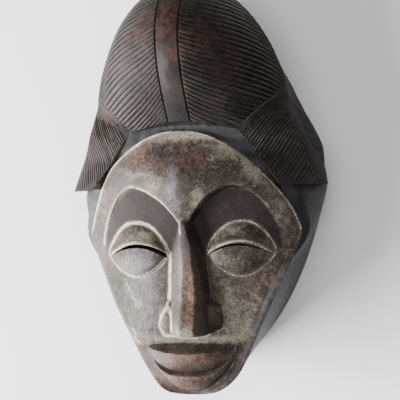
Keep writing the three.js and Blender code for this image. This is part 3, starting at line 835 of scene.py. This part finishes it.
def clay_lines():
    """Thin clay lines left in the creases of the face, as x and y, each with its strength"""
    lines = []

    def add(crease, x, y, lean=0):
        for side, strength in zip(SIDES, CREASES[crease]):
            lines.append((side * x + lean, y, strength))

    t = np.linspace(0, 1, 200)
    y = mix(PLATE_LINE.low_y, PLATE_LINE.high_y, t**0.8)
    add("plate", face_half_width(y) - PLATE_LINE.inset, y, profile(PLATE_LEAN, y))
    y = mix(JAW_LINE.low_y, JAW_LINE.high_y, t)
    add("jaw", face_half_width(y) - JAW_LINE.inset, y)
    angle = np.pi * t
    reach = np.where(angle < np.pi / 2, SOCKET.outer, SOCKET.inner)
    power = 2 / SOCKET.power
    brow_x = SOCKET.x + reach * np.sign(np.cos(angle)) * abs(np.cos(angle)) ** power
    brow_y = SOCKET.y + (SOCKET.up + 0.8) * np.sin(angle) ** power
    clear = brow_x > 1.5
    add("brow", brow_x[clear], brow_y[clear])
    u = np.linspace(-1, 1, 160)
    for upper, way in ((True, 1), (False, -1)):
        eye_x = EYE.x + (EYE.half + 0.4) * u
        add("eye", eye_x, EYE.y + eye_reach(u, upper) * way)
    lid_x = SLIT.x + SLIT.half * u
    add("lid", lid_x, slit_y(lid_x) + LID_LINE.above * (1 - LID_LINE.fall * u**2))
    for points, strength in CLAY_STROKES:
        lines.append((*stroke(points, 30).T, strength))
    for x, y, radius, strength in RING_MARKS:
        lines.append((x + radius * np.cos(2 * angle), y + radius * np.sin(2 * angle), strength))
    return lines


# Clay lines off the edges, with their strength: round the nose, by the mouth and in scratches
CLAY_STROKES = (
    (((-12.8, -44), (-13, -54), (-14, -66), (-15.4, -80)), 1),
    (((-15.4, -80), (-20, -88), (-23, -95), (-19, -101.5)), 0.9),
    (((-15, -80), (-12.5, -86), (-11, -92), (-11.5, -100)), 0.9),
    (((-19, -101.5), (-8, -102.5), (4, -102.5), (14, -100)), 0.9),
    (((13, -40), (13, -52), (16, -74), (21, -84)), 0.12),
    (((24, -90), (22, -97), (14, -100.5)), 0.3),
    (((32.5, -106), (30, -120), (22, -132), (8, -140)), 0.2),
    (((31, -111), (25, -121), (15, -129)), 0.15),
    (((-33, -106), (-32, -116), (-26, -127)), 0.15),
    (((-29, -117), (-20, -126), (0, -130.5), (20, -126), (30, -114)), 0.12),
    (((-47, -65), (-44.5, -69), (-46.5, -71), (-42.5, -70), (-43, -74), (-39.5, -73)), 0.5),
    (((-43, -74), (-40, -77), (-40, -81), (-36.5, -82), (-35.5, -78), (-39, -76)), 0.5),
    (((-44, -97), (-41, -100), (-42, -104), (-38, -107)), 0.7),
    (((27, -47), (31, -49), (30, -53), (34, -52)), 0.15),
    (((70, -40), (66, -47), (67, -54)), 0.12),
    (((44, -70), (47, -76), (43, -80), (46, -86)), 0.12),
)
# Small round marks, as x, y, radius and strength
RING_MARKS = ((20.5, 21, 1.7, 0.35), (-38, -79, 1.1, 0.4))


def nearest_line(x, y, lines):
    """Distance from each point to the nearest line, and how strong that line is there"""
    tree = KDTree(sum(len(line[0]) for line in lines))
    strengths = []
    for line_x, line_y, strength in lines:
        for at in zip(line_x, line_y):
            tree.insert((*at, 0), len(strengths))
            strengths.append(strength)
    tree.balance()
    found = [tree.find((*at, 0)) for at in zip(x, y)]
    return np.array([f[2] for f in found]), np.array([strengths[f[1]] for f in found])


def lock_number(x, y):
    """Which lock a point of the lobe lies on, as a whole number at the cut before it"""
    width = hair_half_width(y)
    ax = np.minimum(abs(x), width)
    band = band_half(width)
    beyond = clamp((ax - band) / np.maximum(0.1, width - band))
    out = np.arcsin(beyond ** (profile(CROWN_POWER, y) / 2)) * 2 / np.pi
    row = y
    for _ in range(40):
        row = mix(row, y + lock_droop(row, out, x < 0) * width, 0.5)
    return (row - FIRST_LOCK) / LOCK_PITCH


# Where the fields fade, each between two levels
LEVEL_Z = (0.1, 0.4)  # of a normal
SOCKET_EDGE, SOCKET_FOOT = (-3, 1), (-56, -30)
SHEEN_EDGE, SHEEN_TOP = (4, 9), (-60, -38)
BAND_DUST = Sizes(off=1.3, half=0.7, top=(108, 96))
CARVED_Z = (44, 64)


def lay_fields(mesh):
    """Write where the looks lie into the mesh, for the materials to read"""
    x, y, z = np.array([v.co for v in mesh.vertices]).T
    ax = abs(x)
    level = smooth(*LEVEL_Z, np.array([v.normal.z for v in mesh.vertices]))
    line, strength = nearest_line(*by_hand(x, y), clay_lines())
    on_hair = y > 0
    # Painted shade: the socket field darkens the hollow under each brow, outside the eye
    socket = (1 - smooth(*SOCKET_EDGE, brow_distance(ax, y))) * smooth(*SOCKET_FOOT, y)
    eye_u = (ax - EYE.x) / EYE.half
    in_eye = (abs(eye_u) < 1) & (abs(y - EYE.y) < eye_reach(eye_u, y > EYE.y))
    # Painted reflection: a grey sheen along the right edge of the lower face, with less clay under it
    inner = smooth(*SHEEN_EDGE, face_half_width(y) - x) + smooth(*SHEEN_TOP, y)
    edge_sheen = clamp(1 - inner) * (x > 0)
    beside_band = clamp(1 - abs(x - BAND.half - BAND_DUST.off) / BAND_DUST.half)
    fields = {
        "line": np.minimum(line, 20),
        "strength": strength * mix(0.3, 1, level),
        "clay": patches(x, y, CLAY) - 0.5 * edge_sheen,
        "warm": patches(x, y, WARM),
        "painted_sheen": patches(x, y, SHEEN_PATCHES) + 0.8 * edge_sheen,
        "shade_patch": patches(x, y, SHADE_PATCHES),
        "socket": socket * np.where(in_eye, 0, 1),
        "dust_and_light": patches(x, y, DUST_AND_LIGHT),
        "hair_warm": patches(x, y, HAIR_WARM),
        "hair_sheen": patches(x, y, HAIR_SHEEN_PATCHES),
        "beside_band": beside_band * smooth(*BAND_DUST.top, y) * (y > HAIRLINE_Y),
        "lock": np.where(y > 30, lock_number(x, y), 0),
        "carved": lock_share(x, y) * on_hair * smooth(*CARVED_Z, z),
        "dent": np.clip(hair_z(ax, y) - z, -1, 4) * on_hair,
    }
    for name, values in fields.items():
        mesh.attributes.new(name, "FLOAT", "POINT").data.foreach_set("value", values.astype(np.float32))


class Value:
    """A number that varies over a surface. Sums and products add nodes."""

    def __init__(self, wood, node, output=0):
        self.wood, self.socket = wood, node.outputs[output]

    def __add__(self, other):
        return self.wood.math("ADD", self, other)

    def __sub__(self, other):
        return self.wood.math("SUBTRACT", self, other)

    def __mul__(self, other):
        return self.wood.math("MULTIPLY", self, other)

    def step(self, lo, hi, start=0, end=1):
        """A smooth step from start to end while the value goes from lo to hi"""
        node = self.wood.node("MapRange", self, lo, hi, start, end)
        node.interpolation_type = "SMOOTHSTEP"
        return Value(self.wood, node)


class Wood:
    """A node material, made of a colour and coats of other colours over it"""

    def __init__(self, name, color):
        self.material = bpy.data.materials.new(name)
        self.material.use_nodes = True
        self.nodes = self.material.node_tree.nodes
        self.links = self.material.node_tree.links
        self.shader = self.nodes["Principled BSDF"]
        self.place = Value(self, self.node("TexCoord"), "Object")
        self.color = color

    def feed(self, socket, value):
        if isinstance(value, Value):
            self.links.new(value.socket, socket)
        elif isinstance(value, tuple) and socket.type == "RGBA":
            socket.default_value = (*value, 1)
        else:
            socket.default_value = value

    def node(self, kind, *values, **named):
        """A new node that is fed with values, in the order of its inputs or by their names"""
        node = self.nodes.new("ShaderNode" + kind)
        for socket, value in zip(node.inputs, values):
            self.feed(socket, value)
        for name, value in named.items():
            self.feed(node.inputs[name], value)
        return node

    def math(self, operation, a, b=0):
        node = self.node("Math", a, b)
        node.operation = operation
        return Value(self, node)

    def coat(self, color, share):
        """Lay a colour over what is there. Where the share is 1, it covers."""
        node = self.node("Mix")
        node.data_type = "RGBA"
        for i, value in ((0, share), (6, self.color), (7, color)):
            self.feed(node.inputs[i], value)
        self.color = Value(self, node, 2)

    def field(self, name):
        node = self.node("Attribute")
        node.attribute_name = name
        return Value(self, node, "Fac")

    def noise(self, size, detail, rough, shift, stretch=(1, 1, 1)):
        """Noise with features of a size in millimetres, longer along an axis that is stretched.
        Each shift gives a noise of its own."""
        scale = tuple(1 / (size * MM * s) for s in stretch)
        move = self.node("VectorMath", self.place, scale, (shift, 1.3 * shift, 0.7 * shift))
        move.operation = "MULTIPLY_ADD"
        place = Value(self, move)
        node = self.node("TexNoise", Vector=place, Scale=1, Detail=detail, Roughness=rough)
        return Value(self, node)

    def grain(self, shift):
        """Fine streaks that run along the head"""
        return self.noise(0.8, 2, 0.6, shift, stretch=(1, 9, 3))

    def finish(self, rough, height, gloss=0.3):
        self.feed(self.shader.inputs["Base Color"], self.color)
        self.feed(self.shader.inputs["Roughness"], rough)
        self.shader.inputs["Specular IOR Level"].default_value = gloss
        node = self.node("Bump", Strength=0.6, Distance=0.4 * MM, Height=height)
        self.links.new(node.outputs[0], self.shader.inputs["Normal"])
        return self.material


# Colours, as linear red, green and blue
FACE_DARK = (0.014, 0.0095, 0.008)
FACE_BROWN = (0.052, 0.032, 0.0255)
FACE_DUSTY = (0.1, 0.075, 0.062)
REDDISH = (0.125, 0.058, 0.034)
ORANGE_WEAR_AND_GLINT = (0.26, 0.125, 0.065)
SHEEN_GREY = (0.18, 0.175, 0.178)
SOCKET_SHADE = (0.0095, 0.0058, 0.0056)
SHADE_DARK = (0.014, 0.009, 0.008)
GRAIN_DARK = (0.008, 0.0055, 0.005)
CLAY_FILM = (0.185, 0.168, 0.128)
CLAY_HAZE = (0.17, 0.153, 0.115)
CLAY_LINE = (0.48, 0.445, 0.345)
CLAY_SPECK = (0.24, 0.215, 0.17)
PIT = (0.018, 0.014, 0.0115)
FINE_PIT = (0.006, 0.0045, 0.004)
HAIR_DARK = (0.005, 0.0037, 0.0037)
HAIR_BROWN = (0.019, 0.013, 0.0112)
HAIR_RED = (0.055, 0.019, 0.011)
HAIR_SHEEN_GREY = (0.045, 0.042, 0.044)
HAIR_SHADE_AND_GRAIN = (0.002, 0.0015, 0.0015)
LOCK_EDGE_WEAR_AND_LIGHT = (0.1, 0.083, 0.071)
BAND_EDGE = (0.15, 0.13, 0.11)
HAIR_SPECK = (0.07, 0.06, 0.053)
CHANNEL_DUST_AND_LIGHT = (0.11, 0.102, 0.085)


def face_wood():
    wood = Wood("face", FACE_DARK)
    mottle = wood.noise(15, 4, 0.62, shift=3)
    patch = wood.noise(4.5, 4, 0.68, shift=11)
    grain = wood.grain(shift=7)
    grit = wood.noise(1.5, 3, 0.8, shift=19)
    worn = wood.noise(6, 2, 0.5, shift=41)
    fine = wood.noise(1.1, 2, 0.6, shift=47)
    crumb = patch + grit * 0.9
    socket, shade_patch = wood.field("socket"), wood.field("shade_patch")
    away, strength = wood.field("line"), wood.field("strength")

    wood.coat(FACE_BROWN, mottle.step(0.33, 0.66))
    wood.coat(FACE_DUSTY, crumb.step(0.88, 1.2) * 0.5)
    warm = (wood.field("warm") + 0.15) * crumb.step(0.72, 1.12)
    wood.coat(REDDISH, warm.step(0.05, 0.7, 0, 0.85))
    # Orange on the most rubbed wood; on the nose tip and the back of the nose it is a painted glint
    wood.coat(ORANGE_WEAR_AND_GLINT, warm.step(0.75, 1.35, 0, 0.8))
    # Painted sheen: a grey highlight laid on the face where the lamp would glint
    painted_sheen = wood.field("painted_sheen") * crumb.step(0.65, 1.15, 0.35, 1)
    wood.coat(SHEEN_GREY, painted_sheen.step(0.1, 1.2, 0, 0.8))
    # Painted shade in the eye sockets, under the brows
    wood.coat(SOCKET_SHADE, socket * patch.step(0.25, 0.75, 0.98, 0.75))
    # Painted shade from the shade patches; the clay lies thinner there too
    wood.coat(SHADE_DARK, shade_patch * 0.7)
    wood.coat(GRAIN_DARK, grain.step(0.53, 0.66) * 0.6)

    clay = wood.field("clay") - (socket * 0.7 + shade_patch * 0.6) + crumb * 1.3
    wood.coat(CLAY_FILM, clay.step(1.4, 2.05, 0, 0.92))
    wood.coat(PIT, grit.step(0.5, 0.64) * clay.step(1, 1.9, 0.3, 0.7))
    haze = (away + crumb * 4).step(3.2, 6.5, 0.75, 0)
    wood.coat(CLAY_HAZE, haze * strength.step(0.1, 1))
    ragged = away + (crumb * 1.7 + worn * 1.4)
    width = strength * 0.95 + 2.45
    line = ragged.step(width - 0.3, width + 0.35, 1, 0)
    line = line * (strength * 0.5 + patch * 1.3).step(0.62, 1.15)
    wood.coat(CLAY_LINE, line)

    wood.coat(FINE_PIT, fine.step(0.34, 0.52, 0.6, 0) * painted_sheen.step(0.2, 1, 1, 0.4))
    speck = (fine + patch * 0.3).step(0.66, 0.86, 0, 0.3)
    wood.coat(CLAY_SPECK, speck * clay.step(0.9, 1.7, 0.15, 1))
    rough = (clay + line).step(1.1, 2.2, 0.44, 0.75) + patch * 0.2 + socket * 0.2
    return wood.finish(rough, grain * 0.35 + (grit * 0.6 + patch))


def hair_wood():
    wood = Wood("hair", HAIR_DARK)
    mottle = wood.noise(14, 4, 0.6, shift=5)
    patch = wood.noise(4, 4, 0.65, shift=2)
    grain = wood.grain(shift=23)
    speck = wood.noise(0.8, 2, 0.7, shift=29)
    crumb = patch + speck * 0.6
    carved = wood.field("carved")

    wood.coat(HAIR_BROWN, mottle.step(0.35, 0.68))
    warm = wood.field("hair_warm") * crumb.step(0.62, 1.05)
    wood.coat(HAIR_RED, warm.step(0.05, 0.7, 0, 0.8))
    # Painted sheen: a grey highlight on the hair
    painted_sheen = wood.field("hair_sheen") * mottle.step(0.3, 0.6, 0.4, 1)
    wood.coat(HAIR_SHEEN_GREY, painted_sheen.step(0.1, 1, 0, 0.6))
    # Painted shade: the hair turns near black where it lies deep below its uncut surface, in the cuts
    # between the locks
    groove_shade = wood.field("dent").step(0.15, 0.8) * carved
    wood.coat(HAIR_SHADE_AND_GRAIN, groove_shade * 0.75)
    # A pale rubbed edge on each lock, laid on the wall of each cut that faces the lamp: wear and
    # painted light
    turn = wood.math("FRACT", wood.field("lock") + patch * 0.12)
    edge = turn.step(0.03, 0.1) * turn.step(0.14, 0.26, 1, 0)
    edge = edge * (carved * crumb.step(0.6, 0.95, 0.2, 1))
    wood.coat(LOCK_EDGE_WEAR_AND_LIGHT, edge * 0.9)
    wood.coat(BAND_EDGE, wood.field("beside_band") * crumb.step(0.6, 0.9))
    # The same near black also follows the grain
    wood.coat(HAIR_SHADE_AND_GRAIN, grain.step(0.54, 0.7) * 0.5)
    wood.coat(HAIR_SPECK, (speck + patch * 0.3).step(0.7, 0.85, 0, 0.35))
    rough = speck.step(0.35, 0.7, 0.6, 0.78) + groove_shade * 0.3
    return wood.finish(rough, grain * 0.4 + (speck * 0.3 + patch * 0.5), gloss=0.2)


def dark_wood(name, low, high, rough=0.4, size=12):
    wood = Wood(name, low)
    mottle = wood.noise(size, 4, 0.6, shift=13)
    grain = wood.grain(shift=17)
    patch = wood.noise(3, 4, 0.65, shift=31)
    wood.coat(high, (mottle + patch * 0.5).step(0.5, 1))
    # Dust in the channel, which on the left also lifts the tress's shadow: dust and painted light
    dust_and_light = wood.field("dust_and_light") * (mottle + patch).step(0.75, 1.15)
    wood.coat(CHANNEL_DUST_AND_LIGHT, dust_and_light.step(0.05, 0.9, 0, 0.8))
    darkest = tuple(0.4 * c for c in low)
    wood.coat(darkest, grain.step(0.52, 0.7) * 0.5)
    return wood.finish(patch.step(0.3, 0.7, rough, rough + 0.2), grain * 0.5 + patch * 0.4)


# The photograph's view, in degrees: from above, a little to the right, and rolled a little. Places
# and distances in the studio are in metres.
VIEW = Sizes(yaw=15, pitch=2, roll=2.2, target=(0, -0.0105, 0.045), away=0.9, lens=112.5)
FLOOR = Sizes(half=3, color=(0.9, 0.9, 0.9, 1), roughness=0.8)
WORLD_STRENGTH = 0.1
LIGHT_AIM = (0, 0, 0.05)


def add_light(name, place, size, power):
    data = bpy.data.lights.new(name, "AREA")
    data.size = size
    data.energy = power
    light = place_in_scene(name, data)
    light.location = place
    light.rotation_euler = (Vector(LIGHT_AIM) - Vector(place)).to_track_quat("-Z", "Y").to_euler()


def add_camera():
    yaw, pitch, roll = (math.radians(v) for v in (VIEW.yaw, VIEW.pitch, VIEW.roll))
    out = Vector((math.sin(yaw) * math.cos(pitch), math.sin(pitch), math.cos(yaw) * math.cos(pitch)))
    right = Vector((0, 1, 0)).cross(out).normalized()
    up = out.cross(right)
    turned_right = math.cos(roll) * right - math.sin(roll) * up
    turned_up = math.sin(roll) * right + math.cos(roll) * up
    data = bpy.data.cameras.new("camera")
    data.lens = VIEW.lens
    camera = place_in_scene("camera", data)
    turn = Matrix((turned_right, turned_up, out)).transposed().to_4x4()
    place = Vector(VIEW.target) + out * VIEW.away
    camera.matrix_world = Matrix.Translation(place) @ turn
    bpy.context.scene.camera = camera


def add_floor():
    material = bpy.data.materials.new("floor")
    material.use_nodes = True
    shader = material.node_tree.nodes["Principled BSDF"]
    shader.inputs["Base Color"].default_value = FLOOR.color
    shader.inputs["Roughness"].default_value = FLOOR.roughness
    corners = FLOOR.half * np.array([(-1, -1, 0), (1, -1, 0), (1, 1, 0), (-1, 1, 0)])
    mesh_object("floor", corners, np.array([[0, 1, 2, 3]]), material)


def add_world():
    world = bpy.data.worlds.new("studio")
    world.use_nodes = True
    background = world.node_tree.nodes["Background"]
    background.inputs["Color"].default_value = (1, 1, 1, 1)
    background.inputs["Strength"].default_value = WORLD_STRENGTH
    bpy.context.scene.world = world


wood = {
    "hair": hair_wood(),
    "channel": dark_wood("channel", (0.004, 0.0043, 0.006), (0.011, 0.011, 0.014)),
    "flank": dark_wood("flank", (0.008, 0.008, 0.01), (0.015, 0.015, 0.018), 0.45, 20),
    "face": face_wood(),
    "hollow": dark_wood("hollow", (0.03, 0.019, 0.013), (0.08, 0.052, 0.036), 0.6),
    # Near-black wood for all but the first wall of each cut: painted shade
    "groove": dark_wood("groove", (0.002, 0.0016, 0.0016), (0.006, 0.005, 0.005), 0.8, 3),
    # Lighter wood for the first wall of each cut, as painted light, and for both walls of the incised
    # lines, as their pale fill
    "lip": dark_wood("lip", (0.02, 0.015, 0.013), (0.09, 0.075, 0.065), 0.5, 4),
}
mask = carved_mask(wood)
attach(mask, "root")
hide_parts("mask")

add_camera()
add_floor()
add_world()
add_light("key", place=(-1.3, -0.4, 0.5), size=1.4, power=188)
add_light("top", place=(0.3, 0.2, 1.8), size=1.6, power=26)
